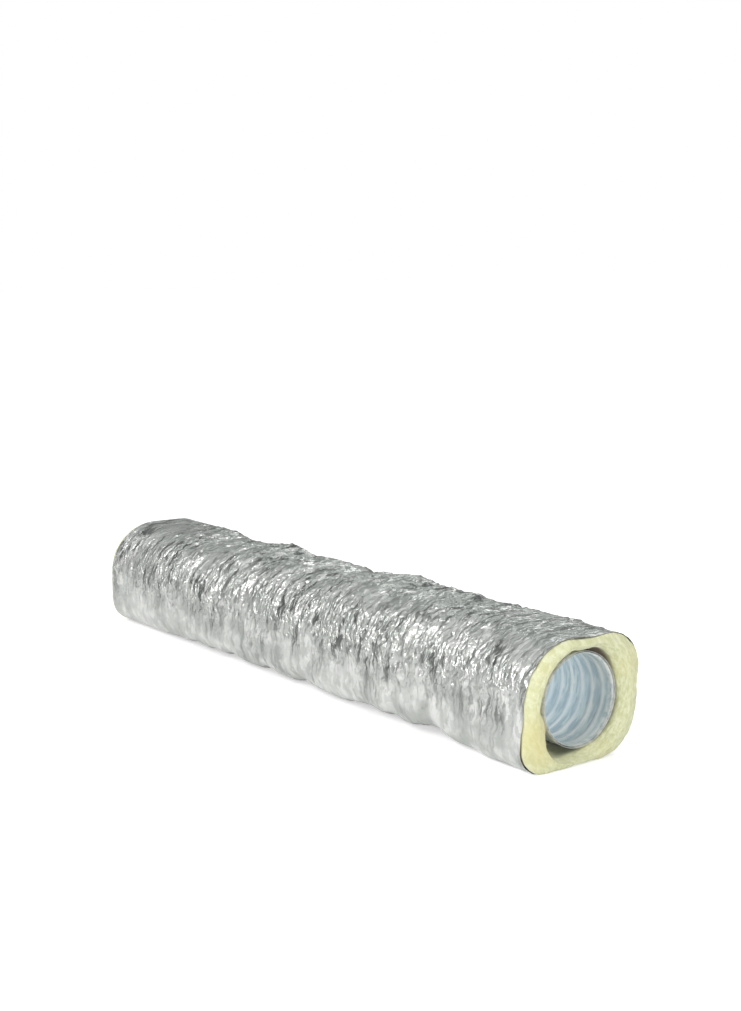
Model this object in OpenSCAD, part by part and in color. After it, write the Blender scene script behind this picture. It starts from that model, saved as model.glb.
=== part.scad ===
// Insulated flexible air duct, one cut length: a wire-wound film core for the air,
// a glass wool blanket round it, and a metallised film jacket over the wool.
// X runs along the duct, Z is up, and the origin is the centre of the core's near end.

/* [Core] */
// Inside radius of the core at its ribs
bore_r = 51; // [40:0.5:76]
// Length of the core
core_l = 916; // [300:1:1200]
// Distance along the duct from one turn of the wire to the next
pitch = 16; // [12:1:25]
// Diameter of the spring wire
wire_d = 1.2; // [0.8:0.1:2]
// Thickness of the film in each ply of the core
ply_t = 0.3; // [0.2:0.05:0.5]
// Depth of the hollow that the film takes between two ribs
hollow_depth = 0.9; // [0.4:0.1:1.5]
// Width of a rib's crest, where the bore is measured
crest_w = 3; // [2:0.5:4]
// Length of the slope on each side of a crest
slope_l = 3; // [1.5:0.5:3.5]
// Film left past the wire at each end of the core
wire_lead = 2; // [1.5:0.5:6]

/* [Blanket] */
// Thickness of the wool at the duct's two sides
side_wool_t = 29; // [20:1:50]
// Thickness of the wool above and below, where it is squashed
top_wool_t = 17; // [15:1:50]
// How far the wool stands past each end of the core
wool_lip = 2; // [1:0.5:20]
// Length at each end where the wool keeps its full size
full_end_l = 68; // [40:1:100]
// How far the wool opens out round the core at its ends
flare_h = 2.5; // [0.5:0.5:5]
// Length of that opening
flare_l = 14; // [5:1:30]
// Corner radius, upper left from the near end
upper_left_r = 70; // [40:1:71]
// Corner radius, upper right
upper_right_r = 48; // [30:1:71]
// Corner radius, lower right
lower_right_r = 62; // [30:1:71]
// Corner radius, lower left
lower_left_r = 35; // [30:1:71]

/* [Jacket] */
// Thickness of the jacket film
jacket_t = 0.3; // [0.2:0.05:0.6]
// How far the wool stands past each end of the jacket
jacket_inset = 6; // [3:0.5:15]
// How far the jacket's cut edges wander along the duct
edge_wander = 2.5; // [0:0.5:3]
// Height of the jacket's highest billow
billow_h = 4; // [0:0.5:8]
// Depth of its deepest dip, which the wool makes room for
dip_h = 6; // [0:0.5:8]
// How far the blanket can slide each way in the jacket
slide_room = 60; // [20:5:80]

/* [Clearances] */
// Gap between the wire and the film on each side of it
wire_gap = 0.1; // [0.05:0.05:0.3]
// Gap between the core and the wool that it slides in
core_gap = 0.4; // [0.3:0.1:1]
// Gap between the wool and the jacket that it slides in
jacket_gap = 0.5; // [0.3:0.1:1]

/* [Hidden] */

// Core, from the bore outwards
liner_out_r = bore_r + hollow_depth + ply_t;
wire_r = liner_out_r + wire_gap + wire_d / 2;
wire_lean = atan(pitch / 4 / wire_r);
wire_bend_r = wire_r / cos(wire_lean);
outer_ply_r = wire_bend_r + wire_d / 2 + wire_gap;
outer_ply_rise = hollow_depth / 2;
core_out_r = outer_ply_r + outer_ply_rise + ply_t;
half_turns = floor((core_l - 2 * wire_lead) / (pitch / 2));
wire_l = half_turns * pitch / 2;
wire_start = (core_l - wire_l) / 2;
rib_count = floor(wire_l / pitch);
rib_start = (core_l - rib_count * pitch) / 2;

// Blanket
hole_r = core_out_r + core_gap;
half_w = hole_r + side_wool_t;
half_h = hole_r + top_wool_t;
blanket_l = core_l + 2 * wool_lip;
CORNER_STEPS = 12;
// Corners anticlockwise from the near end's upper right: way to the corner, radius
CORNERS = [[1, 1, upper_right_r], [-1, 1, upper_left_r],
           [-1, -1, lower_left_r], [1, -1, lower_right_r]];
WAIST_CLEAR = 1.5;
WAIST_RUN = 18;
FLAT_TURN = 15;

// The wire's section is drawn with few sides, because it is wound so many times
WIRE_SIDES = 6;

// Jacket mesh
CORNER_FACETS = 5;
SIDE_FACETS = 4;
RING_STEP = 20;
BILLOW_RUN_IN = 60;
DIP_RUN_IN = 20;
DIP_MARGIN = 8;
MEAN_R = 80;
jacket_l = blanket_l - 2 * jacket_inset;
ring_count = ceil(jacket_l / RING_STEP) + 1;
section_count = 4 * (CORNER_FACETS + SIDE_FACETS - 1);
dip_from = full_end_l - jacket_inset + slide_room + DIP_MARGIN;
// Billows and dips of the loose film: share of the length, middle degree and half its
// width in degrees, height as a share of billow_h, or below 0 of dip_h, and reach
BILLOWS = [
    // On top
    [0.25, 92, 33, 0.9, 42], [0.37, 98, 42, 1, 46], [0.4, 80, 20, 0.7, 36],
    [0.475, 88, 42, -0.75, 34], [0.52, 85, 25, -0.4, 30], [0.62, 85, 35, -0.75, 36],
    [0.685, 90, 35, 0.85, 44], [0.76, 95, 40, -0.75, 38], [0.81, 85, 25, -0.6, 34],
    // Low on the left
    [0.18, 257, 32, -1, 38], [0.265, 252, 27, -0.75, 30], [0.32, 252, 24, -0.75, 34],
    [0.47, 255, 30, -0.85, 32], [0.56, 254, 26, -1, 32], [0.67, 250, 25, -0.9, 36],
    // On the left
    [0.28, 185, 20, 0.6, 40], [0.39, 196, 16, 0.65, 44], [0.48, 182, 32, -0.5, 30],
    [0.525, 185, 20, 0.7, 34], [0.615, 180, 30, -0.55, 30], [0.685, 185, 15, 0.6, 40],
    [0.92, 130, 70, 0.55, 50],
    // On the right
    [0.2, 10, 30, 0.65, 44], [0.295, 357, 28, -0.55, 34], [0.38, 12, 28, 0.75, 46],
    [0.485, 5, 30, -0.55, 34], [0.57, 0, 20, 0.7, 44], [0.645, 3, 28, -0.5, 32],
    [0.725, 12, 28, 0.7, 44], [0.8, 2, 22, -0.45, 32]];

// Runs a shape's X axis from the near end towards the far end
module from_near_end() {
    mirror([1, 0, 0]) children();
}

// Turns a profile of [distance along, radius] points round the duct's axis
module turned(profile) {
    from_near_end()
        rotate([90, 0, 90])
            rotate_extrude($fn = 96)
                polygon([for (p = profile) [p[1], p[0]]]);
}

// One line of points along a ribbed ply, between rib_r on the ribs and hollow_r
// between them. The core is cut on a rib at both ends, so that its mouths are round.
function rib_line(rib_r, hollow_r) = concat(
    [[0, rib_r]],
    [for (k = [0:rib_count - 1])
        let (from = rib_start + k * pitch + crest_w / 2, to = rib_start + (k + 1) * pitch - crest_w / 2)
            each [[from, rib_r], [from + slope_l, hollow_r], [to - slope_l, hollow_r], [to, rib_r]]],
    [[core_l, rib_r]]);

function reversed(list) = [for (i = [len(list) - 1:-1:0]) list[i]];

// A film wall that follows one rib line, ply_t thick outwards
function film_wall(line) = concat(line, reversed([for (p = line) [p[0], p[1] + ply_t]]));

module inner_liner() {
    color([0.68, 0.74, 0.8])
        turned(film_wall(rib_line(bore_r, bore_r + hollow_depth)));
}

module core_outer_ply() {
    color([0.72, 0.76, 0.8])
        turned(film_wall(rib_line(outer_ply_r + outer_ply_rise, outer_ply_r)));
}

// Each half turn is half a ring, leaned so that its ends are half a pitch apart.
// The next one leans the other way and meets it face to face, as one smooth wire.
module wire_half_turn() {
    rotate([0, 0, wire_lean])
        rotate([90, 0, 90])
            rotate_extrude(angle = 180, $fn = 48)
                translate([wire_bend_r, 0]) circle(d = wire_d, $fn = WIRE_SIDES);
}

module wire_helix() {
    color([0.55, 0.56, 0.58])
        from_near_end()
            for (k = [0:half_turns - 1])
                translate([wire_start + (k + 0.5) * pitch / 2, 0, 0])
                    rotate([180 * (k % 2), 0, 0])
                        wire_half_turn();
}

// Centre of the wire, k half turns and a degrees along
function wire_point(k, a) =
    let (side = k % 2 == 0 ? 1 : -1)
        [(k + 0.5) * pitch / 2 - wire_bend_r * sin(wire_lean) * cos(a),
         side * wire_r * cos(a), side * wire_bend_r * sin(a)];

// Clear distance from any point of the first turn to the next two turns
WIRE_STEP = 10;
wire_self_gap = min([for (k = [0:1], a = [0:WIRE_STEP:179], m = [2:5], b = [0:WIRE_STEP:179])
    if (m * 180 + b - k * 180 - a >= 180) norm(wire_point(k, a) - wire_point(m, b))]) - wire_d;
echo(str("least gap from one turn of the wire to the next: ", wire_self_gap, " mm"));

function corner_centre(c) = [c[0] * (half_w - c[2]), c[1] * (half_h - c[2])];

// One ring of the wool's outside at x, drawn in by depth but for its flat underside
function mat_ring(x, depth) = [for (i = [0:3], j = [0:CORNER_STEPS])
    let (c = CORNERS[i], a = 90 * (i + j / CORNER_STEPS),
         r = c[2] - depth * min(1, abs(a - 270) / FLAT_TURN),
         p = corner_centre(c) + r * [cos(a), sin(a)])
        [x, p[0], p[1]]];

// The wool's outside: full size near its ends, with a waist for the jacket's dips
module mat() {
    waist = dip_h + WAIST_CLEAR;
    places = [[0, 0], [full_end_l, 0], [full_end_l + WAIST_RUN, waist],
              [blanket_l - full_end_l - WAIST_RUN, waist], [blanket_l - full_end_l, 0], [blanket_l, 0]];
    n = 4 * (CORNER_STEPS + 1);
    last = n * (len(places) - 1);
    sides = [for (k = [0:len(places) - 2], i = [0:n - 1])
        let (a = k * n + i, b = k * n + (i + 1) % n)
            each [[a, b + n, b], [a, a + n, b + n]]];
    polyhedron(points = [for (p = places) each mat_ring(wool_lip - p[0], p[1])],
               faces = concat(sides, [reversed([for (i = [0:n - 1]) i])], [[for (i = [0:n - 1]) last + i]]));
}

module insulation_blanket() {
    color([0.93, 0.9, 0.62])
        difference() {
            mat();
            translate([wool_lip - blanket_l - 1, 0, 0])
                rotate([0, 90, 0]) cylinder(r = hole_r, h = blanket_l + 2, $fn = 96);
            blanket_flare(wool_lip, -1);
            blanket_flare(wool_lip - blanket_l, 1);
        }
}

// Opens the wool's hole towards the end at x, where inward is the way into the duct
module blanket_flare(x, inward) {
    translate([x, 0, 0])
        rotate([0, 90 * inward, 0])
            translate([0, 0, -1])
                cylinder(r1 = hole_r + flare_h * (1 + 1 / flare_l), r2 = hole_r,
                         h = flare_l + 1, $fn = 96);
}

// Points round the jacket and the degree each faces, off millimetres outside the wool.
// The corners' facets lie outside the wool's arcs, and the sides have points between them.
function section_points(off) = [for (i = [0:3])
    let (c = CORNERS[i], n = CORNERS[(i + 1) % 4], half = 45 / CORNER_FACETS,
         here = [for (j = [0:CORNER_FACETS - 1]) let (a = 90 * i + half * (2 * j + 1))
             concat(corner_centre(c) + (c[2] + off) / cos(half) * [cos(a), sin(a)], a)],
         last = here[CORNER_FACETS - 1],
         next_a = 90 * (i + 1) + half,
         next = corner_centre(n) + (n[2] + off) / cos(half) * [cos(next_a), sin(next_a)],
         side_a = 90 * (i + 1))
        each concat(here, [for (j = [1:SIDE_FACETS - 1]) let (t = j / SIDE_FACETS)
            [last[0] * (1 - t) + next[0] * t, last[1] * (1 - t) + next[1] * t, side_a]])];

// How much of a billow or dip reaches x along the duct and a degrees round it
function share_of(b, x, a) =
    let (turn = abs((a - b[1] + 540) % 360 - 180),
         away = norm([x - b[0] * jacket_l, max(0, turn - b[2]) * MEAN_R * PI / 180]),
         t = max(0, 1 - away / b[4]))
        t * t * (3 - 2 * t);

// How far the film stands out at x along the duct, a degrees round it, where it faces
// the way faces_a. Billows die out where it faces down, so that the duct lies flat, and
// at the cut ends. Dips start past the wool's full size, wherever the blanket slides.
function billow(x, a, faces_a) =
    let (shares = [for (b = BILLOWS) b[3] * (b[3] > 0 ? billow_h : dip_h) * share_of(b, x, a)],
         height = shares * [for (s = shares) 1],
         from_end = min(x, jacket_l - x),
         off_floor = min(1, max(0, 1.25 + 1.4 * sin(faces_a))),
         off_flat = min(1, max(0, abs(faces_a - 270) / FLAT_TURN - 1)))
        height > 0 ? height * off_floor * min(1, from_end / BILLOW_RUN_IN)
                   : max(height, -dip_h) * off_flat * min(1, max(0, (from_end - dip_from) / DIP_RUN_IN));

// The film's cut edges wander a little along the duct
function edge_x(x, a) =
    x + edge_wander * (1 - 2 * x / jacket_l) * (0.5 + 0.5 * sin(2 * a + 35) * cos(a - 20));

function jacket_ring(r, off) =
    let (x = jacket_l * r / (ring_count - 1))
        [for (p = section_points(off))
            let (a = atan2(p[1], p[0]), b = billow(x, a, p[2]))
                [edge_x(x, a), p[0] + cos(p[2]) * b, p[1] + sin(p[2]) * b]];

module jacket() {
    n = section_count;
    outside = [for (r = [0:ring_count - 1]) each jacket_ring(r, jacket_gap + jacket_t)];
    inside = [for (r = [0:ring_count - 1]) each jacket_ring(r, jacket_gap)];
    wall = n * ring_count;
    last = n * (ring_count - 1);
    skins = [for (r = [0:ring_count - 2], i = [0:n - 1])
        let (a = r * n + i, b = r * n + (i + 1) % n, c = b + n, d = a + n)
            each [[a, c, b], [a, d, c], [wall + a, wall + b, wall + c], [wall + a, wall + c, wall + d]]];
    rims = [for (i = [0:n - 1]) let (j = (i + 1) % n)
        each [[i, wall + j, wall + i], [i, j, wall + j],
              [last + i, wall + last + j, last + j], [last + i, wall + last + i, wall + last + j]]];
    color([0.76, 0.77, 0.76])
        translate([wool_lip - jacket_inset, 0, 0])
            from_near_end()
                polyhedron(points = concat(outside, inside), faces = concat(skins, rims), convexity = 8);
}

inner_liner();
wire_helix();
core_outer_ply();
insulation_blanket();
jacket();
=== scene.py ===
# %% [markdown]
# # A length of insulated flexible air duct
#
# The duct is three things, one inside the other. A film core carries the air, with a
# spring wire wound between its two plies. A glass wool blanket keeps the heat in. A
# metallised film jacket, which is hardly thicker than kitchen foil, covers the wool.
#
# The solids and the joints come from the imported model, which is loaded first and never
# moved. This lesson only dresses them: each soft layer is modelled again with the
# creases, lips and ribs that it has, and the spring wire gets its steel.

import math
import random

import bmesh
import bpy
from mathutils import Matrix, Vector


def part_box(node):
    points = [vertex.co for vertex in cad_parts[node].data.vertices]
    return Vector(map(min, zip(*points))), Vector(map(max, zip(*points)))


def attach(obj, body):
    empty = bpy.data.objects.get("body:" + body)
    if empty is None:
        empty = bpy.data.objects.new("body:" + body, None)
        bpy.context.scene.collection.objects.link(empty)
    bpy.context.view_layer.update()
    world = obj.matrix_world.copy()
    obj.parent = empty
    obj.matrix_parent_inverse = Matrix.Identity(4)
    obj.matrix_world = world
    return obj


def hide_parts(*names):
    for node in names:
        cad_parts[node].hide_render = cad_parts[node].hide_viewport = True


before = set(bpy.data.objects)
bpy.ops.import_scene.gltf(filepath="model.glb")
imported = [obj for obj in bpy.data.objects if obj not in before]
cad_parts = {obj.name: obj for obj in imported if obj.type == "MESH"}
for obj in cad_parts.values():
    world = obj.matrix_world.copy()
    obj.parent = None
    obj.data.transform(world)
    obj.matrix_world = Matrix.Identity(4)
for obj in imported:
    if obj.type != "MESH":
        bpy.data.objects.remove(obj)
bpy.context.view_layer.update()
MM = 0.001
wool_lo, wool_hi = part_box("insulation_blanket")
foil_lo, foil_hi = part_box("jacket")
core_lo, core_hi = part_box("inner_liner")
HALF_W = wool_hi.y
HALF_H = wool_hi.z
FLOOR = foil_lo.z
print("wool", [round(v, 4) for v in wool_hi - wool_lo], "floor at", round(FLOOR, 4))

# %% [markdown]
# ## The camera
#
# The duct lies on a table and is seen from its near end, a little from the left and a
# little from above. A long lens keeps its sides nearly parallel. The camera could be
# aimed with a Track To constraint, but a direction turned into a rotation is one line
# and leaves nothing else in the scene.

# %% Camera
bpy.ops.object.camera_add(location=(wool_hi.x + 1.230306, -1.221420, 0.496772))
camera = bpy.context.object
camera.name = "table_camera"
camera.data.sensor_width = 36
camera.data.lens = 57.72
camera.rotation_euler = Vector((-0.7868366, 0.5957177, -0.1612716)).to_track_quat("-Z", "Y").to_euler()
bpy.context.scene.camera = camera
print("camera lens", round(camera.data.lens, 2), "mm")

# %% [markdown]
# ## Small helpers for the hands
#
# An operator acts on whatever is selected, as a hand does. So each step first clears
# the selection, then picks its edges or faces by their place, and then makes one move.
# These helpers do the clearing and the picking, and every piece uses them.

# %% Selecting and editing
def only(piece):
    """Selects one piece and nothing else."""
    bpy.ops.object.select_all(action="DESELECT")
    piece.select_set(True)
    bpy.context.view_layer.objects.active = piece


def pick(piece, kind, wanted):
    """Selects the piece's vertices, edges or faces that wanted() says yes to."""
    bpy.ops.mesh.select_mode(type=kind)
    bpy.ops.mesh.select_all(action="DESELECT")
    mesh = bmesh.from_edit_mesh(piece.data)
    mesh.normal_update()
    parts = {"VERT": mesh.verts, "EDGE": mesh.edges, "FACE": mesh.faces}[kind]
    count = 0
    for part in parts:
        if wanted(part):
            part.select = True
            count += 1
    mesh.select_flush_mode()
    bmesh.update_edit_mesh(piece.data)
    return count


def open_for_editing(piece):
    only(piece)
    bpy.ops.object.mode_set(mode="EDIT")


def close_editing():
    bpy.ops.object.mode_set(mode="OBJECT")


def middle(edge):
    return (edge.verts[0].co + edge.verts[1].co) / 2


def runs_along(edge):
    """True for an edge that runs along the duct."""
    a, b = edge.verts
    return abs(a.co.x - b.co.x) > 0.6 * edge.calc_length()


def smooth_between(value, start, end):
    """0 before start, 1 after end, and a soft slope between them."""
    t = min(1.0, max(0.0, (value - start) / (end - start)))
    return t * t * (3 - 2 * t)


def apply_modifiers(piece):
    only(piece)
    for name in [m.name for m in piece.modifiers]:
        bpy.ops.object.modifier_apply(modifier=name)


def report(piece):
    print(f"{piece.name}: {len(piece.data.vertices)} vertices, {len(piece.data.polygons)} faces")


# %% [markdown]
# ## A squashed sleeve, which two layers start from
#
# Lying on the table has squashed the soft duct, so its section is not round. It is a
# rounded rectangle whose four corners have radii of their own. It could be drawn as a
# curve and swept, but a box whose four long edges are bevelled one at a time gives the
# same section, and every number in it is a real radius. Then the ends are opened and
# the walls are cut into an even mesh, so that later steps can crease them.

# %% The sleeve
CORNERS = {(1, 1): 48 * MM, (-1, 1): 70 * MM, (-1, -1): 35 * MM, (1, -1): 62 * MM}


def squashed_sleeve(name, near, far, off, step):
    """An open tube from x = near to x = far, off outside the wool, with points step apart."""
    bpy.ops.object.select_all(action="DESELECT")
    bpy.ops.mesh.primitive_cube_add(size=1, location=((near + far) / 2, 0, 0))
    sleeve = bpy.context.object
    sleeve.name = name
    sleeve.scale = (near - far, 2 * (HALF_W + off), 2 * (HALF_H + off))
    bpy.ops.object.transform_apply(location=True, rotation=True, scale=True)
    open_for_editing(sleeve)
    for (side, top), radius in CORNERS.items():
        corner = Vector(((near + far) / 2, side * (HALF_W + off), top * (HALF_H + off)))
        pick(sleeve, "EDGE", lambda e: (middle(e) - corner).length < 1e-5)
        arc = round((radius + off) * math.pi / 2 / step)
        bpy.ops.mesh.bevel(offset=radius + off, segments=arc, profile=0.5, affect="EDGES")
    pick(sleeve, "FACE", lambda f: abs(f.normal.x) > 0.9)
    bpy.ops.mesh.delete(type="FACE")
    for axis, sign in ((1, 1), (1, -1), (2, 1), (2, -1)):
        flat = lambda e: not runs_along(e) and e.calc_length() > 2 * step and middle(e)[axis] * sign > 0.05
        pick(sleeve, "EDGE", flat)
        mesh = bmesh.from_edit_mesh(sleeve.data)
        lengths = [e.calc_length() for e in mesh.edges if e.select]
        bpy.ops.mesh.subdivide(number_cuts=max(1, round(lengths[0] / step) - 1))
    # A bevel may number its points differently each time, so they are put in order, by
    # how far they lie from the cursor. New pieces start at the cursor, so it goes back.
    bpy.context.scene.cursor.location = (1, 0.37, 0.21)
    bpy.ops.mesh.select_all(action="SELECT")
    bpy.ops.mesh.sort_elements(type="CURSOR_DISTANCE", elements={"VERT", "EDGE", "FACE"})
    bpy.context.scene.cursor.location = (0, 0, 0)
    close_editing()
    return sleeve


def cut_rows(sleeve, places):
    """Cuts the sleeve across at each place along it."""
    open_for_editing(sleeve)
    for x in places:
        bpy.ops.mesh.select_all(action="SELECT")
        bpy.ops.mesh.bisect(plane_co=(x, 0, 0), plane_no=(1, 0, 0))
    close_editing()


def angle_of(point):
    """Degrees round the duct: 0 at the right, 90 on top, 180 at the left."""
    return math.degrees(math.atan2(point.z, point.y)) % 360


def angle_gap(a, b):
    return abs((a - b + 180) % 360 - 180)


# %% [markdown]
# ## The jacket's big billows
#
# The film is looser than the wool it covers, so it swells between the places where it
# was pulled tight. These swells and dips are what the outline shows. They could come
# from a noise texture, but a fitter would see at once that they sit in the wrong
# places. So each is a pull with proportional editing: an arc of points is moved out or
# in along its normals, and the points around it follow softly.

# %% Jacket: sleeve and billows
jacket = squashed_sleeve("jacket_foil", foil_hi.x, foil_lo.x, 0.9 * MM, 4 * MM)
open_for_editing(jacket)
# The underside lies flat on the table, so it can spare two lines of points
SPARED = (-12 * MM, 12 * MM)
spared = lambda e: runs_along(e) and min(abs(middle(e).y - y) for y in SPARED) < 2 * MM
print(pick(jacket, "EDGE", lambda e: middle(e).z < -HALF_H and spared(e)), "lines spared below")
bpy.ops.mesh.dissolve_edges()
for cuts in (14, 24):
    pick(jacket, "EDGE", runs_along)
    bpy.ops.mesh.subdivide(number_cuts=cuts)
close_editing()
plain_wall = [(v.co.copy(), v.normal.copy()) for v in jacket.data.vertices]
report(jacket)

# Each pull: distance from the near edge, first and last degree round it, height, reach, in mm
BILLOWS = [
    (228, 60, 125, 3.6, 42), (272, 50, 90, 2.2, 30), (334, 55, 140, 4.2, 46),
    (360, 60, 100, 3.0, 36), (432, 45, 130, -5.4, 36), (474, 60, 110, -2.4, 30),
    (516, 70, 120, 1.6, 34), (564, 50, 120, -4.4, 36), (622, 55, 125, 3.4, 44),
    (690, 55, 135, -6.2, 42), (738, 55, 115, -6.0, 38), (200, 40, 80, -1.4, 26),
    (162, 225, 290, -7.6, 38), (192, 230, 270, -3.4, 26), (242, 225, 280, -4.6, 26),
    (288, 228, 275, -4.4, 32), (316, 230, 270, -2.6, 26), (428, 225, 285, -5.2, 32),
    (510, 228, 280, -6.0, 30), (600, 225, 275, -5.4, 32), (644, 230, 270, -3.2, 30),
    (698, 228, 275, -3.0, 30), (356, 180, 212, 2.6, 44), (436, 150, 215, -3.0, 30),
    (478, 165, 205, 2.8, 34), (560, 150, 210, -3.2, 30), (624, 170, 200, 2.4, 40),
    (254, 165, 205, 2.4, 40), (174, 150, 200, -2.2, 30), (694, 150, 200, -2.6, 32),
    (749, 165, 200, 2.0, 36), (114, 100, 160, 1.6, 40), (856, 55, 110, -2.0, 40),
    (184, 340, 400, 2.6, 44), (266, 330, 385, -3.2, 34), (344, 345, 400, 3.0, 46),
    (440, 335, 395, -3.4, 34), (519, 340, 380, 2.8, 44), (584, 335, 390, -3.0, 32),
    (659, 345, 400, 2.8, 44), (729, 340, 385, -2.6, 32), (804, 345, 395, 2.0, 44),
]


def pull(piece, along, first, last, height, reach):
    """Moves an arc of the wall out along its normals, and its surroundings with it."""
    x = foil_hi.x - along * MM
    centre = (first + last) / 2
    half = (last - first) / 2
    near_arc = lambda v: abs(v.co.x - x) < 1.4 * MM and angle_gap(angle_of(v.co), centre) < half
    pick(piece, "VERT", near_arc)
    bpy.ops.transform.shrink_fatten(
        value=height * MM,
        use_proportional_edit=True,
        proportional_edit_falloff="SMOOTH",
        proportional_size=reach * MM,
    )


open_for_editing(jacket)
for billow in BILLOWS:
    pull(jacket, *billow)
close_editing()
print(len(BILLOWS), "billows; top of the film at", round(max(v.co.z for v in jacket.data.vertices), 4))

# %% [markdown]
# ## Creases in the film
#
# Film that is bunched up along a duct creases round it: narrow folds that run round
# the section, with sharp ridges and small flat facets between them. A cloth
# simulation could bunch the film up, but it takes minutes and the folds land anywhere.
# Displace modifiers with textures made of Voronoi cells give the same ridges at once.
# Each texture is read through an empty that is narrow along the duct, so that its
# cells come out long round the section. The film is smoother low down, where the
# duct's own weight stretches it, so a vertex group holds the creases back there.

# %% Jacket: creases
crease_room = jacket.vertex_groups.new(name="crease_room")
for v in jacket.data.vertices:
    low = smooth_between(v.co.z, -52 * MM, 8 * MM)
    at_end = min(
        smooth_between(foil_hi.x - v.co.x, 0, 30 * MM),
        smooth_between(v.co.x - foil_lo.x, 0, 30 * MM),
    )
    crease_room.add([v.index], (0.22 + 0.78 * low) * (0.45 + 0.55 * at_end), "REPLACE")


def crease(piece, name, basis, size, height, middle_of, squeeze, lean, start, depth=0):
    """Pushes the film out where a cell texture is above middle_of, and in where it is below."""
    texture = bpy.data.textures.new(name, "CLOUDS")
    texture.noise_basis = basis
    texture.noise_scale = size * MM
    texture.noise_depth = depth
    texture.noise_type = "HARD_NOISE" if depth else "SOFT_NOISE"
    bpy.ops.object.select_all(action="DESELECT")
    bpy.ops.object.empty_add(location=start)
    holder = bpy.context.object
    holder.scale = (squeeze, 1, 1)
    holder.rotation_euler = (0, 0, math.radians(lean))
    bpy.context.view_layer.update()
    only(piece)
    displace = piece.modifiers.new(name, "DISPLACE")
    displace.texture = texture
    displace.texture_coords = "OBJECT"
    displace.texture_coords_object = holder
    displace.mid_level = middle_of
    displace.strength = height * MM
    displace.vertex_group = "crease_room"
    bpy.ops.object.modifier_apply(modifier=name)
    bpy.data.objects.remove(holder)
    bpy.data.textures.remove(texture)


crease(jacket, "long_folds", "VORONOI_F2_F1", 42, 3.6, 0.3, 0.3, 8, (0, 0, 0))
crease(jacket, "crossing_folds", "VORONOI_F1", 26, 2.4, 0.35, 0.4, -14, (0.31, 0.12, 0.05), 1)
crease(jacket, "short_creases", "VORONOI_F2_F1", 15, 3.0, 0.25, 0.42, 5, (0.11, 0.4, 0.2))
crease(jacket, "crumples", "VORONOI_F1", 9, 2.0, 0.55, 0.5, -20, (0.7, 0.3, 0.1))
report(jacket)

# %% [markdown]
# ## Where the film rests, and its cut ends
#
# The underside is flat only where it bears on the table, so points that came out
# below the table are brought up to it. The ends were cut with a knife through film and
# wool together, and the film then crept back, most at the lower left of the near end.
# Moving the last points along the duct by a slow wave gives that edge. Wool that is free
# of the film swells, so the near end of the film is belled by as much, and the blanket
# can still be pushed back in. The film gets its thickness last, inwards, so that its
# outside stays where it was shaped.

# %% Jacket: rest on the table, cut edges and thickness
# How far the wool swells past the film: degree round the duct, half width, height in mm
FLARES = [(2, 24, 1.0), (24, 17, 2.4), (320, 18, 3.2), (214, 17, 3.6), (240, 13, 3.4)]
# How far the near end's top has sagged, in the same form
SAGS = [(78, 26, 3.6)]
# How far from the film's edge it is belled and sagged: whole up to the first, not past the second
BELLED = (66 * MM, 96 * MM)
DROOPED = (12 * MM, 55 * MM)
# How much of each end creeps along the duct
CREPT = 16 * MM


def moved_by(angle, moves):
    return sum(h * math.exp(-((angle_gap(angle, a) / w) ** 2)) for a, w, h in moves) * MM


def creep(angle):
    """How far the near edge has crept, forwards if positive, round the duct, in metres."""
    slow = 1.3 + 1.2 * math.sin(math.radians(angle - 150)) + 0.7 * math.sin(math.radians(3 * angle + 40))
    low_left = 2.6 * math.exp(-((angle_gap(angle, 214) / 26) ** 2))
    nicks = 0.35 * math.sin(math.radians(17 * angle)) + 0.25 * math.sin(math.radians(31 * angle + 70))
    return (6.5 - slow - low_left - nicks) * MM


def lift(angle):
    """How far the near edge stands off the wool."""
    return (0.2 + 0.7 * max(0, math.sin(math.radians(2 * angle - 100)))) * MM


def deepest(x):
    """How far in the film may dip: nothing near the ends, where the wool slides under it."""
    from_end = min(foil_hi.x - x, x - foil_lo.x)
    return 7.5 * MM * smooth_between(from_end, 122 * MM, 155 * MM)


for v, (plain, normal) in zip(jacket.data.vertices, plain_wall):
    v.co -= normal * 0.2 * deepest(plain.x)
    too_deep = -deepest(plain.x) - (v.co - plain).dot(normal)
    if too_deep > 0:
        v.co += normal * too_deep
    a = angle_of(v.co)
    near_end = smooth_between(v.co.x, foil_hi.x - CREPT, foil_hi.x)
    far_end = smooth_between(-v.co.x, -foil_lo.x - CREPT, -foil_lo.x)
    belled = 1 - smooth_between(foil_hi.x - plain.x, *BELLED)
    drooped = 1 - smooth_between(foil_hi.x - plain.x, *DROOPED)
    v.co += normal * (moved_by(a, FLARES) * belled - moved_by(a, SAGS) * drooped)
    v.co.x += near_end * creep(a) - far_end * 0.5 * creep(360 - a)
    outwards = Vector((0, v.co.y, v.co.z)).normalized()
    v.co += outwards * lift(a) * (near_end**3 + far_end**3)
    v.co.z = max(v.co.z, FLOOR + 0.05 * MM)

FILM_T = 0.3 * MM
thickness = jacket.modifiers.new("film", "SOLIDIFY")
thickness.thickness = FILM_T
thickness.offset = -1
apply_modifiers(jacket)
only(jacket)
bpy.ops.object.shade_smooth_by_angle(angle=math.radians(24))
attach(jacket, "jacket")
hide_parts("jacket")
report(jacket)

# %% [markdown]
# ## The glass wool blanket
#
# The blanket is a thick soft mat wrapped round the core. Only its two ends show: a
# crowned ring with a ragged inner lip. It starts as the same squashed sleeve, with a
# round tube for the core's hole inside it, and the two are bridged at the ends, which
# gives the end faces rings of even quads. Between the ends the mat gives way under the
# film's dips, so it is drawn in there, out of sight.

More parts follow.
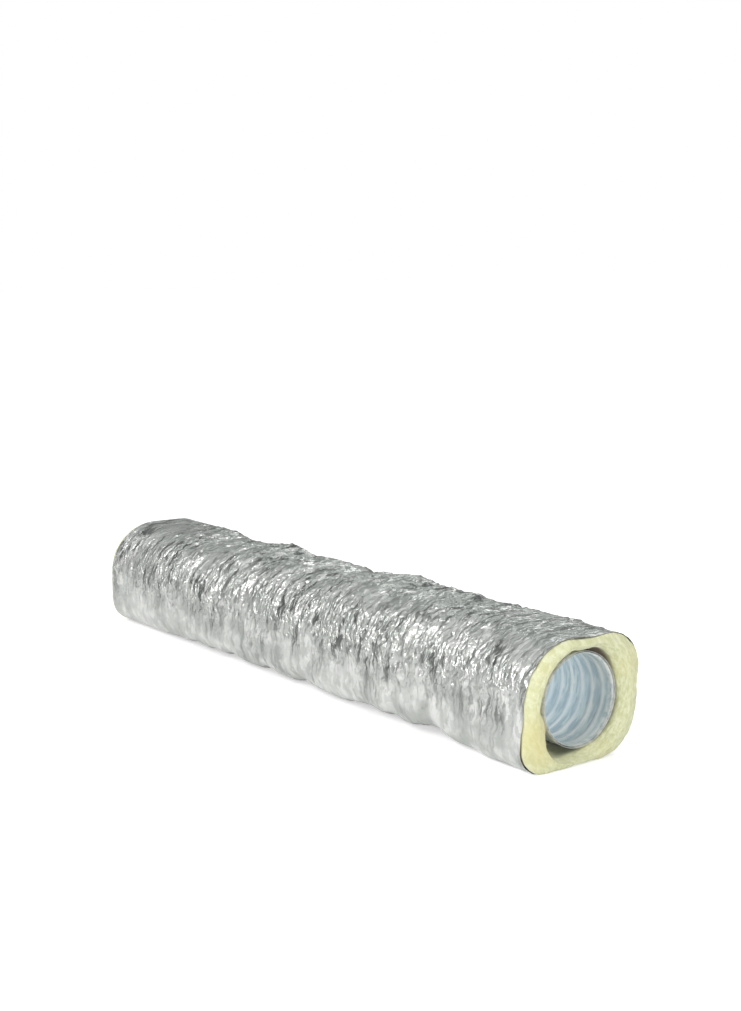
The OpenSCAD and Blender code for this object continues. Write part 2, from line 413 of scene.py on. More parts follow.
# %% Blanket: sleeve, hole and end faces
ROWS = [1.2, 2.4, 3.6, 5, 6.5, 8.5, 11, 14, 18, 23, 30, 42, 56, 68, 85, 120, 210, 330]
near_rows = [wool_hi.x - depth * MM for depth in ROWS]
middle_row = (wool_hi.x + wool_lo.x) / 2
far_rows = [wool_lo.x + wool_hi.x - x for x in near_rows]
blanket = squashed_sleeve("wool_blanket", wool_hi.x, wool_lo.x, 0, 4.4 * MM)
cut_rows(blanket, near_rows + [middle_row] + far_rows)
open_for_editing(blanket)
mesh = bmesh.from_edit_mesh(blanket.data)
around = sum(1 for v in mesh.verts if abs(v.co.x - wool_hi.x) < 1e-6)
close_editing()

HOLE_R = 54.9 * MM
bpy.ops.object.select_all(action="DESELECT")
bpy.ops.mesh.primitive_cylinder_add(
    vertices=around, radius=HOLE_R, depth=wool_hi.x - wool_lo.x, end_fill_type="NOTHING",
    location=((wool_hi.x + wool_lo.x) / 2, 0, 0), rotation=(0, math.pi / 2, 0),
)
hole = bpy.context.object
bpy.ops.object.transform_apply(location=True, rotation=True, scale=True)
cut_rows(hole, near_rows + [middle_row] + far_rows)
open_for_editing(hole)
bpy.ops.mesh.select_all(action="SELECT")
bpy.ops.mesh.flip_normals()
close_editing()
only(blanket)
hole.select_set(True)
bpy.ops.object.join()
open_for_editing(blanket)
for end in (wool_hi.x, wool_lo.x):
    pick(blanket, "EDGE", lambda e: abs(e.verts[0].co.x - end) < 1e-6 and abs(e.verts[1].co.x - end) < 1e-6)
    bpy.ops.mesh.bridge_edge_loops(number_cuts=6, interpolation="LINEAR")
bpy.ops.mesh.select_all(action="SELECT")
bpy.ops.mesh.normals_make_consistent(inside=False)
close_editing()
report(blanket)
print("points round the blanket:", around)

# %% [markdown]
# ## The blanket's lip and the mat under the film
#
# A knife leaves glass wool ragged. On the near end the lip of the hole stands a little
# proud at the left, and at the lower left a corner of it has torn away. The end face is
# crowned, and past the film's edge the wool swells by as much as the film is belled.
# These are moves of chosen points by rule, as a hand would pinch and pull them. Under
# the film the wool keeps to the room that it has, so the two can slide.

# %% Blanket: shape the lips and draw the mat in
# Each: degree round the hole, half its width in degrees, how far the lip moves out, in mm
LIP_MOVES = [(235, 17, 12.5), (222, 12, 4.5), (196, 9, -2.0), (181, 9, 3.4), (45, 20, 3.6),
             (62, 12, 2.0), (88, 10, -2.0), (128, 26, 1.2), (262, 16, 1.6), (287, 12, -1.8),
             (330, 22, 3.0), (350, 14, 1.5)]


def lip_radius(angle, moves):
    """Radius of the hole where it meets the end face."""
    return HOLE_R + max(0.6 * MM, 2.3 * MM + moved_by(angle, moves))


def mat_recess(x):
    """How far the mat is drawn in under the film, which is nothing near the ends."""
    return 9.4 * MM * smooth_between(min(wool_hi.x - x, x - wool_lo.x), 68 * MM, 84 * MM)


def outside_by(point):
    """How far a point lies outside the blanket's plain section, less than 0 inside it."""
    radius = CORNERS[(1 if point.y > 0 else -1, 1 if point.z > 0 else -1)]
    past_y = abs(point.y) - (HALF_W - radius)
    past_z = abs(point.z) - (HALF_H - radius)
    return min(max(past_y, past_z), 0) + math.hypot(max(past_y, 0), max(past_z, 0)) - radius


def film_edge(angle):
    return foil_hi.x + creep(angle)


def sagged(point):
    """How much lower the top of the wool is, all along its near half."""
    return moved_by(angle_of(point), SAGS) * smooth_between(point.x, -0.5, -0.3)


SLACK = 0.3 * MM


def room_at(point):
    """How far outside its plain section the wool may reach, by what the film leaves it."""
    angle = angle_of(point)
    past_film = smooth_between(point.x, film_edge(angle) - 3 * MM, film_edge(angle) + 2 * MM)
    return SLACK + moved_by(angle, FLARES) * past_film - sagged(point)


far_moves = [((360 - a + 40) % 360, w, h * 0.7) for a, w, h in LIP_MOVES]
for v in blanket.data.vertices:
    radius = math.hypot(v.co.y, v.co.z)
    a = angle_of(v.co)
    outwards = Vector((0, v.co.y, v.co.z)) / radius
    across = min(1, max(0, (radius - HOLE_R) / (radius - HOLE_R - outside_by(v.co) + 0.1 * MM)))
    from_near, from_far = wool_hi.x - v.co.x, v.co.x - wool_lo.x
    depth = min(from_near, from_far)
    opened = lip_radius(a, LIP_MOVES if from_near < from_far else far_moves) - HOLE_R
    pocket = 1 - smooth_between(depth, 12 * MM, 27 * MM)
    rolled = 2.4 * MM * (1 - min(1, depth / (6 * MM))) ** 2
    crest = 0.9 + 6.8 * math.sin(math.pi * min(1, across)) ** 1.1 + 0.8 * across
    if depth < 30 * MM:
        v.co += outwards * (opened * pocket + rolled) * smooth_between(radius - HOLE_R, 20 * MM, 0)
        sprung = crest * MM * (1 - smooth_between(depth, 0, 26 * MM))
        v.co.x += sprung if from_near < from_far else -0.4 * sprung
    v.co -= outwards * sagged(v.co) * across
    if radius > HOLE_R + 6 * MM:
        v.co += outwards * (room_at(v.co) + sagged(v.co) - SLACK) * smooth_between(across, 0.6, 1.0)
        v.co -= outwards * mat_recess(v.co.x)

# %% [markdown]
# ## The springy ends of the mat, by cloth simulation
#
# Cut wool springs back: the end face crowns and the lips swell past the film. A cloth
# with pressure inside does just that. Everything under the film and round the core is
# pinned, so only the last few millimetres move, and the move of each point is capped.

# %% Blanket: let its ends swell
def let_swell(piece, free, cap, pressure, frames):
    """Swells the points that free() gives a weight, by cloth pressure, at most cap metres."""
    pin = piece.vertex_groups.new(name="held")
    rest = [v.co.copy() for v in piece.data.vertices]
    loose = [free(v.co) for v in piece.data.vertices]
    for v, weight in zip(piece.data.vertices, loose):
        pin.add([v.index], 1 - weight, "REPLACE")
    only(piece)
    cloth = piece.modifiers.new("swell", "CLOTH")
    cloth.settings.vertex_group_mass = "held"
    cloth.settings.use_pressure = True
    cloth.settings.uniform_pressure_force = pressure
    cloth.settings.effector_weights.gravity = 0
    cloth.settings.quality = 6
    cloth.settings.tension_stiffness = 8
    cloth.settings.bending_stiffness = 0.3
    cloth.point_cache.frame_start = 1
    cloth.point_cache.frame_end = frames
    for frame_number in range(1, frames + 1):
        bpy.context.scene.frame_set(frame_number)
    bpy.ops.object.modifier_apply(modifier="swell")
    bpy.context.scene.frame_set(1)
    moved = 0
    for v, start, weight in zip(piece.data.vertices, rest, loose):
        step = v.co - start
        if step.length > cap * weight:
            step *= cap * weight / max(step.length, 1e-9)
        v.co = start + step
        moved = max(moved, step.length)
    piece.vertex_groups.clear()
    return moved


def free_weight(point):
    """1 on the end faces and lips, 0 where film or core holds the wool."""
    depth = min(wool_hi.x - point.x, point.x - wool_lo.x)
    return 1 - smooth_between(depth, -2.5 * MM, 2.5 * MM)


print("ends swelled by up to", round(let_swell(blanket, free_weight, 2.0 * MM, 4, 16), 4))

# %% [markdown]
# ## Torn fibre on the cut faces
#
# Subdividing rounds the crowned ring, and two Displace modifiers give the cut face
# the lumps and the fine tear of glass wool. They act on the ends only, by a vertex
# group, because film and core slide over the rest.

# %% Blanket: round it and tear it
def detail_weight(point):
    depth = min(wool_hi.x - point.x, point.x - wool_lo.x)
    return 1 - smooth_between(depth, 1 * MM, 6 * MM)


only(blanket)
rounding = blanket.modifiers.new("rounding", "SUBSURF")
rounding.levels = 1
rounding.render_levels = 1
bpy.ops.object.modifier_apply(modifier="rounding")
torn = blanket.vertex_groups.new(name="crease_room")
for v in blanket.data.vertices:
    torn.add([v.index], detail_weight(v.co), "REPLACE")
for name, kind, size, height in (("lumps", "CLOUDS", 14, 2.4), ("tears", "CLOUDS", 3.2, 1.0)):
    texture = bpy.data.textures.new(name, kind)
    texture.noise_scale = size * MM
    texture.noise_depth = 3
    displace = blanket.modifiers.new(name, "DISPLACE")
    displace.texture = texture
    displace.texture_coords = "LOCAL"
    displace.mid_level = 0.5
    displace.strength = height * MM
    displace.vertex_group = "crease_room"
    bpy.ops.object.modifier_apply(modifier=name)
    bpy.data.textures.remove(texture)
blanket.vertex_groups.clear()


def keep_in_room(point, extra=0.0):
    """Holds a point of the wool out of the film's way, the core's and the table's."""
    radius = math.hypot(point.y, point.z)
    outwards = Vector((0, point.y, point.z)) / radius
    if radius > HOLE_R + 6 * MM:
        too_far = outside_by(point) - room_at(point) - extra
        point = point - outwards * max(0, too_far) * 1.08
    else:
        point = point + outwards * max(0, HOLE_R - radius)
    point.z = max(point.z, FLOOR + 0.45 * MM)
    return point


for v in blanket.data.vertices:
    v.co = keep_in_room(v.co)
bpy.ops.object.shade_smooth()
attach(blanket, "blanket")
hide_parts("insulation_blanket")
report(blanket)

# %% [markdown]
# ## Loose fibres
#
# Up close, glass wool is fine strands. A few hundred wisps lie over each cut face.
# Particle hair could grow them, but hair is not a mesh until it is converted, and
# only a few are needed. So one wisp is modelled as a thin bent three-sided stem, and
# copies are turned, scaled and laid on faces of the ends that are picked by a seed.

# %% Fibres
random.seed(11)
bpy.ops.object.select_all(action="DESELECT")
bpy.ops.mesh.primitive_cylinder_add(vertices=3, radius=0.11 * MM, depth=10 * MM, end_fill_type="NGON")
wisp = bpy.context.object
wisp.name = "wisp"
open_for_editing(wisp)
pick(wisp, "EDGE", lambda e: abs(e.verts[0].co.z - e.verts[1].co.z) > MM)
bpy.ops.mesh.subdivide(number_cuts=4)
close_editing()
for v in wisp.data.vertices:
    t = v.co.z / (5 * MM)
    v.co.x = v.co.x * (1.15 - 0.75 * t * t) + 1.5 * MM * t * t
    v.co.y = v.co.y * (1.15 - 0.75 * t * t) + 0.8 * MM * t**3
report(wisp)

cut_faces = [
    f for f in blanket.data.polygons
    if min(wool_hi.x - f.center.x, f.center.x - wool_lo.x) < 0 and f.center.z > FLOOR + 3 * MM
]
template = bmesh.new()
template.from_mesh(wisp.data)
template_points = [v.co.copy() for v in template.verts]
template_faces = [[v.index for v in f.verts] for f in template.faces]
template.free()
points = []
faces = []
for face in random.sample(cut_faces, 520):
    outwards = Vector((0, face.center.y, face.center.z)).normalized()
    around_duct = outwards.cross(face.normal)
    if around_duct.length < 0.2:
        around_duct = Vector((0, -face.center.z, face.center.y))
    lie = (around_duct.normalized() + face.normal * random.uniform(-0.05, 0.35)
           + outwards * random.uniform(-0.5, 0.5)).normalized()
    turn = lie.to_track_quat("Z", "Y").to_matrix()
    length = random.uniform(0.35, 1.05)
    first = len(points)
    place = face.center + face.normal * random.uniform(0.0, 0.5) * MM
    for p in template_points:
        points.append(keep_in_room(place + turn @ Vector((p.x, p.y, p.z * length)), 0.2 * MM))
    faces.extend([[first + i for i in f] for f in template_faces])
fibre_mesh = bpy.data.meshes.new("wool_fibres")
fibre_mesh.from_pydata(points, [], faces)
fibres = bpy.data.objects.new("wool_fibres", fibre_mesh)
bpy.context.collection.objects.link(fibres)
bpy.data.objects.remove(wisp)
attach(fibres, "blanket")
report(fibres)

# %% [markdown]
# ## The core's inner film
#
# The inner ply is drawn tight over the spring wire, so the bore shows one long screw
# thread of ribs. On the real duct the film is wound on a mandrel with the wire. Here
# one pitch of its wall is drawn as a line, and a Screw modifier winds it, rising one
# pitch for each turn. Bisecting cuts the two ends square, as the fitter's knife does.

# %% Core: inner film
PITCH = 16 * MM
BORE_R = 51 * MM
TURNS = math.ceil((core_hi.x - core_lo.x) / PITCH) + 2
WIRE_AT_TOP = 6 * MM
STEPS = 48


def rib_height(t):
    """Height of the film over the bore's ribs, t from 0 to 1 along one pitch."""
    from_rib = abs((t + 0.5) % 1 - 0.5) * PITCH
    return 1.7 * MM * smooth_between(from_rib, 0.7 * MM, 4.6 * MM)


def wound_film(name, profile_points, base, height, film_t):
    """Winds one pitch of a film wall into a helix, cuts its ends and thickens it outwards."""
    bpy.ops.object.select_all(action="DESELECT")
    bpy.ops.mesh.primitive_grid_add(x_subdivisions=profile_points, y_subdivisions=1, size=PITCH)
    film = bpy.context.object
    film.name = name
    open_for_editing(film)
    pick(film, "VERT", lambda v: v.co.y > 0)
    bpy.ops.mesh.delete(type="VERT")
    close_editing()
    for v in film.data.vertices:
        t = v.co.x / PITCH + 0.5
        v.co = Vector((v.co.x, 0, base + height(t)))
    screw = film.modifiers.new("winding", "SCREW")
    screw.axis = "X"
    screw.screw_offset = -PITCH
    screw.iterations = TURNS
    screw.steps = STEPS
    screw.render_steps = STEPS
    screw.use_merge_vertices = True
    screw.merge_threshold = 0.01 * MM
    apply_modifiers(film)
    shift = core_hi.x - WIRE_AT_TOP + 2 * PITCH - max(v.co.x for v in film.data.vertices)
    for v in film.data.vertices:
        v.co.x += shift
    open_for_editing(film)
    for end, keep in ((core_hi.x, 1), (core_lo.x, -1)):
        bpy.ops.mesh.select_all(action="SELECT")
        bpy.ops.mesh.bisect(plane_co=(end, 0, 0), plane_no=(keep, 0, 0), clear_outer=True)
    bpy.ops.mesh.select_all(action="SELECT")
    bpy.ops.mesh.remove_doubles(threshold=0.01 * MM)
    bpy.ops.mesh.normals_make_consistent(inside=False)
    close_editing()
    wall = film.modifiers.new("film", "SOLIDIFY")
    wall.thickness = film_t
    wall.offset = 1
    apply_modifiers(film)
    only(film)
    bpy.ops.object.shade_smooth_by_angle(angle=math.radians(40))
    return film


core_film = wound_film("core_inner_film", 16, BORE_R, rib_height, 0.25 * MM)
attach(core_film, "core")
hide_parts("inner_liner")
report(core_film)
print("core film from", [round(min(v.co[i] for v in core_film.data.vertices), 4) for i in range(3)])

# %% [markdown]
# ## Finishes: a small language for shader maths
#
# A finish is a network of nodes. Wiring them by hand hides the sums, so one small class
# wraps a socket and overloads the operators: an expression on wrapped sockets adds its
# Math nodes. One method makes every other node. It sets the node's options first and
# then its sockets, by their names. The surroundings are wired in the same way.

# %% The finish maker
class Wire:
    """One output socket that takes part in Python sums."""

    def __init__(self, network, socket):
        self.network = network
        self.socket = socket

    def maths(self, operation, a, b):
        return self.network.node("Math", {"operation": operation}, {0: a, 1: b})

    def __add__(self, other):
        return self.maths("ADD", self, other)

    def __sub__(self, other):
        return self.maths("SUBTRACT", self, other)

    def __rsub__(self, other):
        return self.maths("SUBTRACT", other, self)

    def __mul__(self, other):
        return self.maths("MULTIPLY", self, other)

    def __truediv__(self, other):
        return self.maths("DIVIDE", self, other)

    def __pow__(self, other):
        return self.maths("POWER", self, other)

    __radd__ = __add__
    __rmul__ = __mul__


class Network:
    """The nodes of a material or of the surroundings."""

    def __init__(self, owner):
        owner.use_nodes = True
        self.tree = owner.node_tree

    def put(self, socket, value):
        """Links a wire to a socket, or writes a plain value on it."""
        if isinstance(value, Wire):
            self.tree.links.new(value.socket, socket)
        else:
            socket.default_value = value

    def node(self, kind, options=None, values=None, out=0):
        """Any node: its options, then its sockets, and one output as a wire."""
        made = self.tree.nodes.new("ShaderNode" + kind)
        for name, value in (options or {}).items():
            if name == "stops":
                ramp = made.color_ramp.elements
                while len(ramp) < len(value):
                    ramp.new(0.5)
                for element, (place, colour) in zip(ramp, value):
                    element.position = place
                    element.color = colour
            else:
                setattr(made, name, value)
        for name, value in (values or {}).items():
            self.put(self.socket(made, name), value)
        return Wire(self, made.outputs[out]) if made.outputs else None

    def socket(self, made, name):
        if isinstance(name, int):
            return made.inputs[name]
        for socket in made.inputs:
            if name in (socket.identifier, socket.name):
                return socket
        raise KeyError(name)

    def mix(self, factor, a, b, blend="MIX"):
        """Mixes two colours."""
        options = {"data_type": "RGBA", "blend_type": blend, "clamp_factor": True}
        return self.node("Mix", options, {"Factor_Float": factor, "A_Color": a, "B_Color": b}, out=2)

    def ramp(self, value, low, high, at_low=0.0, at_high=1.0):
        """A value rescaled from low..high to at_low..at_high, softly and clamped."""
        options = {"interpolation_type": "SMOOTHSTEP"}
        values = {"Value": value, "From Min": low, "From Max": high, "To Min": at_low, "To Max": at_high}
        return self.node("MapRange", options, values)


class Finish(Network):
    """A material with one Principled shader, and the nodes that feed it."""

    def __init__(self, name, **uniform):
        self.material = bpy.data.materials.new(name)
        super().__init__(self.material)
        self.shader = self.tree.nodes["Principled BSDF"]
        self.feed(**uniform)

    def feed(self, **sockets):
        """Links or writes the shader's sockets."""
        for socket, value in sockets.items():
            self.put(self.shader.inputs[socket.replace("_", " ")], value)

    def cover(self, *pieces):
        for piece in pieces:
            piece.data.materials.clear()
            piece.data.materials.append(self.material)
        print(self.material.name, "covers", ", ".join(piece.name for piece in pieces))


def rgb(red, green, blue):
    """A colour as it looks on screen, 0 to 255, turned into the linear values a shader takes."""
    linear = [((c / 255 + 0.055) / 1.055) ** 2.4 if c > 10 else c / 255 / 12.92 for c in (red, green, blue)]
    return (*linear, 1.0)


# %% [markdown]
# ## Metallised film
#
# The jacket is aluminium on polyester. Its shine is broken up by creases finer than
# the mesh, and its tone is not even: grey-green where the metal coat is thin. Painted
# shade darkens the pits of tight creases, most on the upper side, so the film stays
# pale where it is stretched smooth. The side that turns under to the table and the top
# get painted shade too. Voronoi cells, warped by noise and long round the duct, give
# creases with flat facets between them. They feed a Bump node, and the same cells vary
# the colour and the roughness.

# %% Finish: jacket film
film = Finish("jacket_film", Metallic=1.0)
place = film.node("TexCoord", out="Object")
wander = film.node("TexNoise", {}, {"Vector": place, "Scale": 55.0, "Detail": 2.0}, out="Color")
warped = film.node("VectorMath", {"operation": "MULTIPLY_ADD"},
                   {0: wander, 1: (0.016, 0.016, 0.016), 2: place})


def film_cells(scale, stretch, feature="F1", metric="CHEBYCHEV", out="Distance"):
    """Creased cells, stretched round the duct."""
    squeezed = film.node("Mapping", {}, {"Vector": warped, "Scale": (1, 1 / stretch, 1 / stretch)})
    options = {"feature": feature, "distance": metric}
    return film.node("TexVoronoi", options, {"Vector": squeezed, "Scale": scale}, out=out)


facets = film_cells(105.0, 2.8)
small_facets = film_cells(200.0, 2.0, metric="MANHATTAN")
fine = film.node("TexNoise", {}, {"Vector": warped, "Scale": 380.0, "Detail": 3.0, "Roughness": 0.55})
upright = film.node("SeparateXYZ", {}, {0: place}, out="Z")
upper = film.ramp(upright, -45 * MM, 20 * MM)
worked = film.node("TexNoise", {}, {"Vector": place, "Scale": 13.0, "Detail": 1.5})
busy = film.ramp(worked, 0.4, 0.6, 0.45, 1.0)
patches = film.node("TexNoise", {}, {"Vector": place, "Scale": 26.0, "Detail": 3.0})
streak_lie = film.node("Mapping", {}, {"Vector": warped, "Scale": (1, 0.26, 0.26)})
streaks = film.node("TexNoise", {}, {"Vector": streak_lie, "Scale": 125.0, "Detail": 3.0, "Roughness": 0.6})
# Painted shade: dark streaks in the pits of creases, stronger on the upper side and in busy patches.
painted_crease_shade = film.ramp(streaks, 0.52, 0.62) * film.ramp(upper, 0.0, 1.0, 0.36, 0.9) * busy
grey = film.mix(film.ramp(patches, 0.4, 0.62), rgb(229, 230, 227), rgb(194, 197, 193))
cell_tone = film.node("SeparateXYZ", {}, {0: film_cells(150.0, 2.4, out="Color")}, out="X")
facet_share = film.ramp(cell_tone, 0.0, 1.0) * film.ramp(upper, 0.0, 1.0, 0.6, 0.9)
faceted = film.mix(facet_share, grey, rgb(184, 187, 183))
with_crease_shade = film.mix(painted_crease_shade, faceted, rgb(98, 101, 99))
facing = film.node("SeparateXYZ", {}, {0: film.node("TexCoord", out="Normal")}, out="Z")
# Painted shade: the film is darkened where its surface faces down, as it turns under to the table.
painted_underside_shade = film.ramp(facing, -0.84, -0.96, 0.0, 0.8)
under = film.mix(painted_underside_shade, with_crease_shade, rgb(88, 90, 88))
# Painted shade: the film's upward-facing top is multiplied a little darker.
with_top_shade = film.mix(film.ramp(facing, 0.72, 1.0), under, rgb(233, 236, 235), "MULTIPLY")
height = facets * 0.75 + small_facets * 0.7 + fine * 0.22
relief = film.node("Bump", {}, {"Height": height * film.ramp(upper, 0.0, 1.0, 0.55, 1.0) * busy,
                                "Strength": 1.0, "Distance": 0.0027})
film.feed(Base_Color=with_top_shade, Roughness=film.ramp(patches, 0.35, 0.65, 0.28, 0.41), Normal=relief)
film.cover(jacket)

# %% [markdown]
# ## Glass wool
#
# The wool is pale yellow from its binder, and deeper yellow round one spot at the lower
# left of the near end. Deep in the core's hole it gets painted shade. It was laid in
# layers, so the tear on a cut face runs round the ring. Polar coordinates, made from the
# object's own Y and Z, let the noise follow that: it is stretched round the ring and
# fine across it.

# %% Finish: glass wool
wool = Finish("glass_wool", Roughness=0.95, Sheen_Weight=0.25, Sheen_Roughness=0.6, Specular_IOR_Level=0.1)
spot = wool.node("TexCoord", out="Object")
x, y, z = (wool.node("SeparateXYZ", {}, {0: spot}, out=axis) for axis in "XYZ")
radius = (y * y + z * z) ** 0.5
layered = wool.node("CombineXYZ", {},
                    {"X": y / radius * 0.06, "Y": z / radius * 0.06, "Z": radius * 2.2 + x * 1.4})
strata = wool.node("TexNoise", {}, {"Vector": layered, "Scale": 150.0, "Detail": 5.0, "Roughness": 0.62})
lint = wool.node("TexNoise", {}, {"Vector": spot, "Scale": 900.0, "Detail": 3.0, "Roughness": 0.7})
cloudy = wool.node("TexNoise", {}, {"Vector": spot, "Scale": 17.0, "Detail": 2.0})
pale = wool.mix(wool.ramp(strata, 0.35, 0.68), rgb(216, 218, 170), rgb(239, 241, 206))
# Deeper yellow round one spot at the lower left of the near end.
WARM_SPOT_AT = (0.004, -0.062, -0.03)
from_warm_spot = wool.node("VectorMath", {"operation": "DISTANCE"}, {0: spot, 1: WARM_SPOT_AT}, out="Value")
warm_spot = wool.ramp(from_warm_spot, 46 * MM, 12 * MM, 0.0, 0.6)
warm = wool.mix(warm_spot + wool.ramp(cloudy, 0.5, 0.72) * 0.25, pale, rgb(230, 220, 156))
half_length = (wool_hi.x - wool_lo.x) / 2
from_middle = wool.node("Math", {"operation": "ABSOLUTE"}, {0: x + (half_length - wool_hi.x)})
deep = wool.ramp(from_middle, half_length - 14 * MM, half_length - 1 * MM, 1.0, 0.0)
in_hole = wool.ramp(radius, 62 * MM, 72 * MM, 1.0, 0.0)
# Painted shade: deep in the core's hole the wool is darkened, to brown up top and green-grey low down.
painted_hole_shade = wool.mix(wool.ramp(z, 0.0, 35 * MM), rgb(84, 90, 66), rgb(104, 82, 64))
with_hole_shade = wool.mix(deep * in_hole * 0.9, warm, painted_hole_shade)
felt = wool.node("Bump", {}, {"Height": strata * 0.7 + lint * 0.3, "Strength": 0.8, "Distance": 0.0012})
wool.feed(Base_Color=with_hole_shade, Normal=felt)
wool.cover(blanket, fibres)

# %% [markdown]
# ## Core film and spring steel
#
# The core's film is thinner and smoother than the jacket's, with a cool satin look and
# streaks wound round with the ribs. Its ribs get a painted highlight, the bore darkens
# with painted shade towards the mouth, and its crumpled cut end is painted pale as a
# highlight. So that a long bore isn't black inside, the film glows faintly: painted
# light that grows from the mouth inwards. The spring wire is plain drawn steel: its
# marks run along the wire, and it is seldom clean.

# %% Finish: core film
satin = Finish("core_film", Metallic=0.12, Specular_IOR_Level=0.8, Emission_Strength=1.0)
inside = satin.node("TexCoord", out="Object")
wrinkle_lie = satin.node("Mapping", {}, {"Vector": inside, "Scale": (0.5, 1, 1)})
wrinkles = satin.node("TexNoise", {},
                      {"Vector": wrinkle_lie, "Scale": 150.0, "Detail": 2.0, "Distortion": 0.3})
haze = satin.node("TexNoise", {}, {"Vector": inside, "Scale": 38.0, "Detail": 1.0})
across_bore = satin.node("Mapping", {}, {"Vector": inside, "Scale": (0, 1, 1)})
from_axis = satin.node("VectorMath", {"operation": "LENGTH"}, {0: across_bore}, out="Value")
on_rib = satin.ramp(from_axis, BORE_R + 0.2 * MM, BORE_R + 1.1 * MM, 1.0, 0.0)
wound_lie = satin.node("Mapping", {}, {"Vector": inside, "Scale": (1, 0.22, 0.22)})
wound = satin.node("TexNoise", {}, {"Vector": wound_lie, "Scale": 240.0, "Detail": 2.0})
valley = satin.mix(satin.ramp(haze, 0.3, 0.7), rgb(222, 236, 241), rgb(241, 250, 247))
streaky = satin.mix(satin.ramp(wound, 0.4, 0.62, 0.0, 0.85), valley, rgb(194, 211, 220))
# Painted highlight: the ribs' crests are made nearly white, broken by haze.
painted_rib_highlight = on_rib * satin.ramp(haze, 0.34, 0.6, 0.5, 1.0)
with_rib_highlight = satin.mix(painted_rib_highlight, streaky, rgb(248, 250, 251))
lengthwise = satin.node("SeparateXYZ", {}, {0: inside}, out="X")
half_core = (core_hi.x - core_lo.x) / 2
off_middle = satin.node("Math", {"operation": "ABSOLUTE"}, {0: lengthwise + (half_core - core_hi.x)})
# Painted shade: the last few centimetres of the bore towards the mouth are darkened to grey-green.
at_mouth = satin.ramp(off_middle, half_core - 60 * MM, half_core - 14 * MM, 0.0, 0.4)
shaded = satin.mix(at_mouth, with_rib_highlight, rgb(128, 138, 136))
crumpled = satin.ramp(wrinkles, 0.36, 0.56, 0.25, 1.0)
# Painted highlight: the crumpled cut end of the film is made pale, in patches.
painted_cut_end_highlight = satin.ramp(off_middle, half_core - 12 * MM, half_core - 5 * MM) * crumpled
bore_with_painted_light = satin.mix(painted_cut_end_highlight, shaded, rgb(240, 241, 236))
# Painted light: the bore's film glows faintly deeper in from the mouth, more on the ribs, with no lamp
# there.
painted_glow_share = satin.ramp(off_middle, half_core - 150 * MM, half_core - 10 * MM, 0.2, 0.0) * (on_rib * 0.5 + 0.5)
painted_glow = satin.mix(painted_glow_share, (0, 0, 0, 1), rgb(226, 234, 238))
tight = satin.node("Bump", {}, {"Height": wrinkles * 0.4 + wound, "Strength": 0.45, "Distance": 0.0007})
satin.feed(Base_Color=bore_with_painted_light, Emission_Color=painted_glow,
           Roughness=satin.ramp(haze, 0.3, 0.7, 0.28, 0.34), Normal=tight)
satin.cover(core_film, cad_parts["core_outer_ply"])

# %% Finish: spring steel
steel = Finish("spring_steel", Metallic=1.0)
along_wire = steel.node("Mapping", {}, {"Vector": steel.node("TexCoord", out="Object"), "Scale": (6, 1, 1)})
drawn = steel.node("TexNoise", {}, {"Vector": along_wire, "Scale": 300.0, "Detail": 4.0})
steel.feed(Base_Color=steel.mix(steel.ramp(drawn, 0.35, 0.7), rgb(150, 152, 156), rgb(182, 184, 186)),
           Roughness=steel.ramp(drawn, 0.3, 0.7, 0.28, 0.45))
steel.cover(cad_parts["wire_helix"])

# %% [markdown]
# ## Floor, lamps and surroundings
#
# Foil is a mirror with a bad memory: it shows its surroundings, not its own colour. A
# white table gives the pale lower side, and a dim ceiling with a soft box on each side
# gives the grey top and its bright streaks. Two small ones by the camera light the near
# end. The table adds a little light of its own where it is seen, so that it stays white
# without more light on the duct, and it keeps the soft shadow. An image of a studio
# could surround the scene, but a ramp of greys says the same in five numbers.

# %% Floor
bpy.ops.object.select_all(action="DESELECT")
bpy.ops.mesh.primitive_plane_add(size=30, location=(-0.45, 0, FLOOR))
floor = bpy.context.object
floor.name = "white_table"
table_top = Finish("white_table", Roughness=0.9, Base_Color=(0.86, 0.86, 0.86, 1), Emission_Strength=1)
seen = table_top.node("LightPath", out="Is Camera Ray")
mirrored = table_top.node("LightPath", out="Is Glossy Ray")
on_table = table_top.node("TexCoord", out="Object")
away = table_top.node("VectorMath", {"operation": "LENGTH"}, {0: on_table}, out="Value")
glow = seen * table_top.ramp(away, 0.7, 2.4, 0.52, 0.66) + mirrored * 0.27
table_top.feed(Emission_Color=glow)
table_top.cover(floor)

# %% Lamps
def soft_box(name, place, aim, width, height, watts):
    """A rectangular lamp that looks at aim."""
    bpy.ops.object.light_add(type="AREA", location=place)
    lamp = bpy.context.object
    lamp.name = name
    lamp.data.shape = "RECTANGLE"
    lamp.data.size = width
    lamp.data.size_y = height
    lamp.data.energy = watts
    lamp.rotation_euler = (Vector(aim) - Vector(place)).to_track_quat("-Z", "Y").to_euler()
    print(f"{name}: {watts} W, {width} by {height} m")


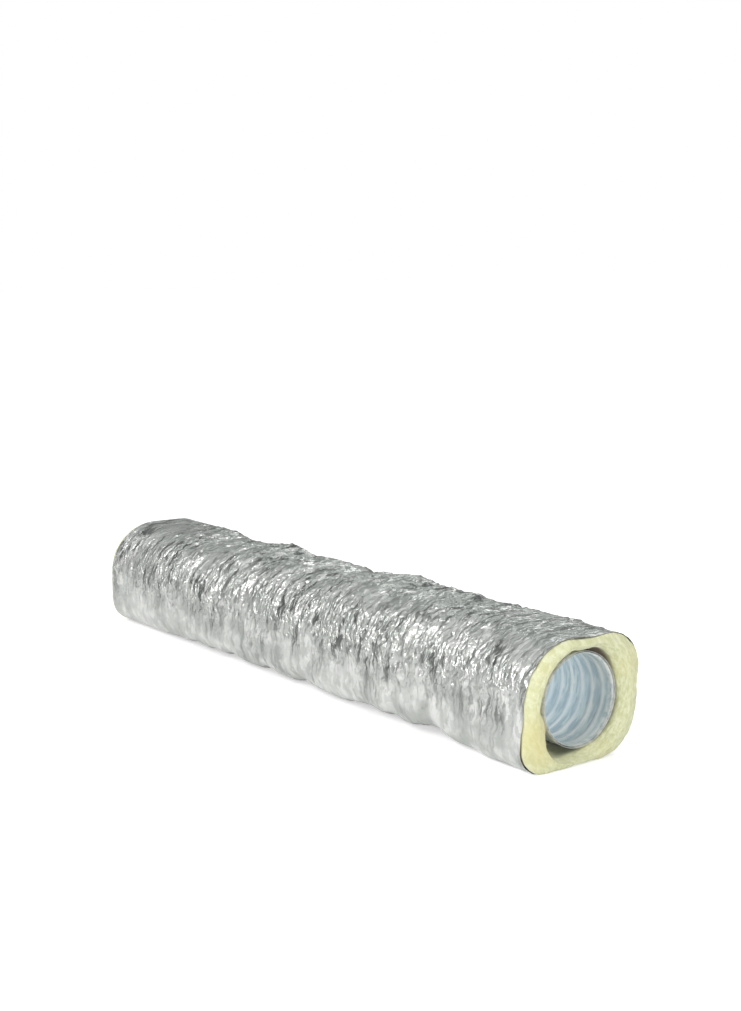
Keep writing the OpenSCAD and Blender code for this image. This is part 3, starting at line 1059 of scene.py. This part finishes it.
soft_box("box_left", (-0.4, -1.7, 1.3), (-0.6, 0, 0), 1.2, 0.7, 14)
soft_box("box_right", (-0.9, 1.3, 1.5), (-0.35, 0, 0), 1.4, 0.6, 6)
soft_box("box_near", (1.8, 0.3, 0.9), (0, 0, 0), 0.7, 0.7, 2)
soft_box("box_bore", (1.45, -1.05, 0.4), (-0.05, 0, 0), 0.35, 0.35, 9)

# %% Surroundings
world = bpy.data.worlds.new("studio")
bpy.context.scene.world = world
studio = Network(world)
studio.tree.nodes.clear()
direction = studio.node("TexCoord", out="Generated")
sideways, upwards = (studio.node("SeparateXYZ", {}, {0: direction}, out=axis) for axis in "YZ")
# What the film mirrors: the place from the horizon (0) to overhead (1), and how pale it is
CEILING = [(0.0, 0.9), (0.12, 0.4), (0.28, 0.56), (0.55, 0.95), (1.0, 0.9)]
AMBIENT = 0.62
stops = [(place, (level, level, level, 1)) for place, level in CEILING]
ceiling = studio.node("ValToRGB", {"stops": stops}, {0: upwards})
far_wall = studio.node("MapRange", {}, {"Value": sideways, "From Min": 0.05, "From Max": 0.6,
                                        "To Min": 1.0, "To Max": 0.58})
to_camera, to_mirror, through_glass = (
    studio.node("LightPath", out=f"Is {kind} Ray") for kind in ("Camera", "Glossy", "Transmission")
)
white_behind = studio.node("Math", {"operation": "MAXIMUM"}, {0: ceiling * far_wall, 1: to_camera})
shown = studio.node("Background", {}, {"Color": white_behind})
ambient = studio.node("Background", {}, {"Color": (1, 1, 1, 1), "Strength": AMBIENT})
is_seen = studio.node("Math", {"operation": "ADD", "use_clamp": True},
                      {0: to_camera + to_mirror, 1: through_glass})
blend = studio.node("MixShader", {}, {0: is_seen, 1: ambient, 2: shown})
studio.node("OutputWorld", {}, {"Surface": blend})
print("surroundings:", len(studio.tree.nodes), "nodes, ambient strength", AMBIENT)
bpy.context.scene.view_settings.view_transform = "Standard"

# %% [markdown]
# ## Finish
#
# Last, the view layer is brought up to date. The dressed duct must stay inside the
# imported model's box, apart from a little room for soft film and wool.

# %% Finish
bpy.context.view_layer.update()
